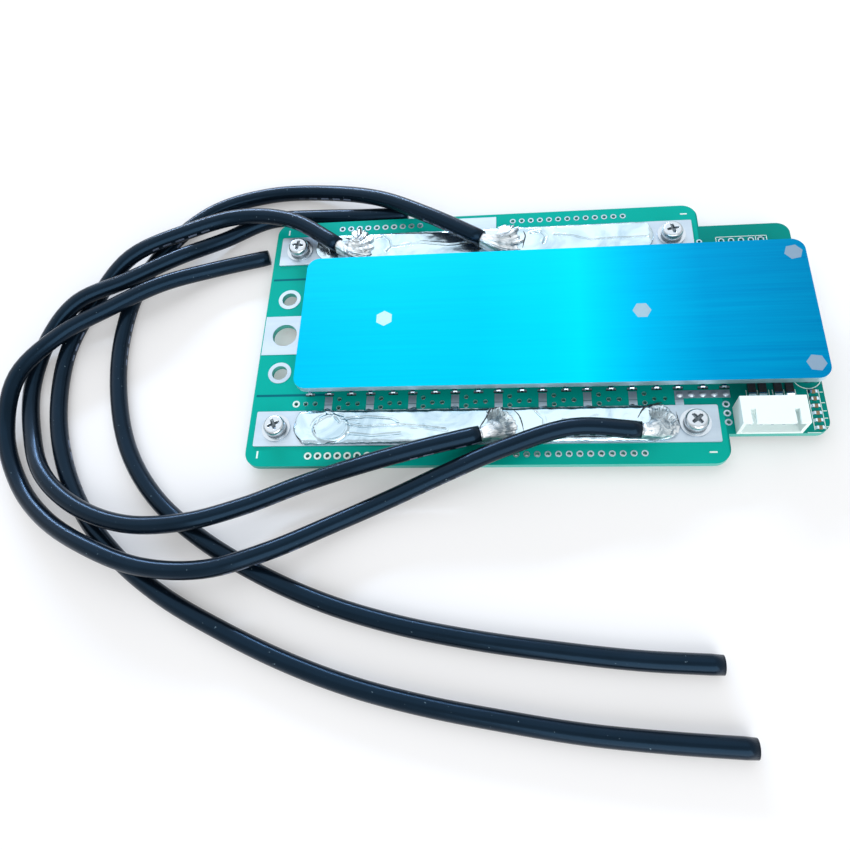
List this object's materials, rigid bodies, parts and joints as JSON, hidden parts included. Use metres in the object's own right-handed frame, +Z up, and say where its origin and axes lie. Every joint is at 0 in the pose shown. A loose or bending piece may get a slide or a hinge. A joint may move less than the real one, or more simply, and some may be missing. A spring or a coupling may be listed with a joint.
{
  "type": "battery management board",
  "caption": "Battery management board with transistor rows under a heat-sink plate, soldered current strips, a signal socket and four loose silicone cables.",
  "frame": {"origin": "on the surface under the middle of the board, the cables left out: midway along the whole board's length and width, at the underside of the strip nuts", "axes": "+X along the board from the terminal end to the connector end, +Y from the battery strip to the load strip, +Z up from the nuts to the heat-sink plate"},
  "size_m": [0.2128, 0.1554, 0.011],
  "materials": {
    "laminate": "satin green solder mask on glass-fibre laminate",
    "solder": "bright solder, frozen in ripples",
    "tinned_copper": "satin tin plating",
    "anodised_plate": "satin blue anodised sheet",
    "silicone_pad": "matt grey silicone",
    "plated_steel": "bright nickel plating",
    "mould_compound": "matt black epoxy",
    "nylon": "satin white nylon",
    "ceramic_body": "matt tan ceramic",
    "silicone_cable": "satin black silicone rubber"
  },
  "bodies": {
    "root": {"circuit_board": "laminate", "tinned_lands": "solder", "battery_bus_bar": "tinned_copper", "load_bus_bar": "tinned_copper", "battery_solder_bed": "solder", "load_solder_bed": "solder", "heat_sink_plate": "anodised_plate", "thermal_pads": "silicone_pad", "standoffs": "plated_steel", "standoff_screws": "plated_steel", "strip_screws": "plated_steel", "spring_washers": "plated_steel", "flat_washers": "plated_steel", "strip_nuts": "plated_steel", "battery_side_transistors": "mould_compound", "load_side_transistors": "mould_compound", "transistor_tabs": "tinned_copper", "transistor_leads": "tinned_copper", "connector_housing": "nylon", "connector_contacts": "tinned_copper", "chip_resistors": "mould_compound", "chip_capacitors": "ceramic_body", "chip_terminals": "solder", "controller_chip": "mould_compound", "controller_leads": "tinned_copper", "sense_resistors": "mould_compound", "battery_joint_left": "solder", "battery_joint_right": "solder", "load_joint_left": "solder", "load_joint_right": "solder", "battery_cable_left": "silicone_cable", "battery_cable_right": "silicone_cable", "load_cable_left": "silicone_cable", "load_cable_right": "silicone_cable"}
  },
  "joints": []
}
